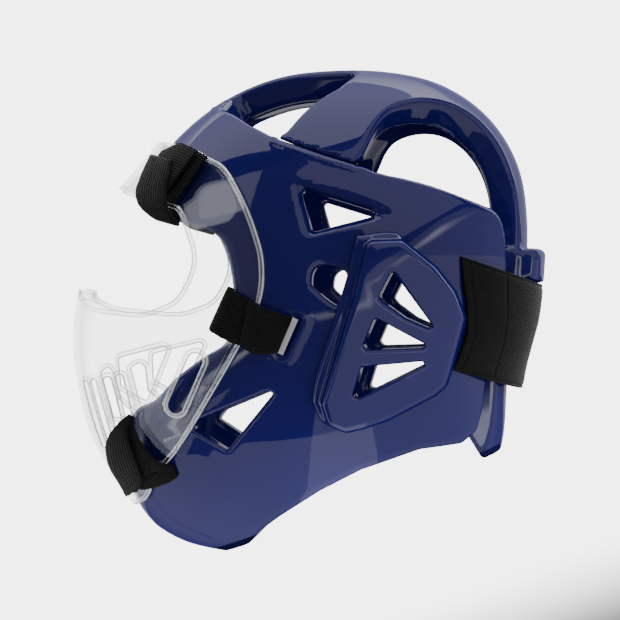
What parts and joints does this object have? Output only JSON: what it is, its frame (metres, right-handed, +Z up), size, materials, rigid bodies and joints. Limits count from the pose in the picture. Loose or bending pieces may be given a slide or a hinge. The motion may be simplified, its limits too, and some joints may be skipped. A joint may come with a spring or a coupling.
{
  "type": "taekwondo headgear with face shield",
  "caption": "Dipped-foam sparring headgear with open crown, raised ear cups, wide rear strap and a clear face shield held on by folded straps.",
  "frame": {"origin": "middle of the box on the surface that the headgear stands on", "axes": "+Z up, +Y towards the back of the head, +X towards the wearer's left; the headgear leans back by 20.5 degrees as it rests on its chin and nape pad"},
  "size_m": [0.218, 0.2956, 0.254],
  "materials": {
    "foam": "glossy vinyl skin dipped over closed-cell foam",
    "clear": "clear polished polycarbonate",
    "webbing": "woven black elastic webbing",
    "grey": "grey moulded plastic"
  },
  "bodies": {
    "root": {"shell": "foam", "crown": "foam", "face_shield": "clear", "rear_strap": "webbing", "ear_cup_left": "foam", "forehead_strap_left": "webbing", "chin_strap_left": "webbing", "side_strap_left": "webbing", "strap_bar_left": "grey", "ear_cup_right": "foam", "forehead_strap_right": "webbing", "chin_strap_right": "webbing", "side_strap_right": "webbing", "strap_bar_right": "grey"}
  },
  "joints": []
}
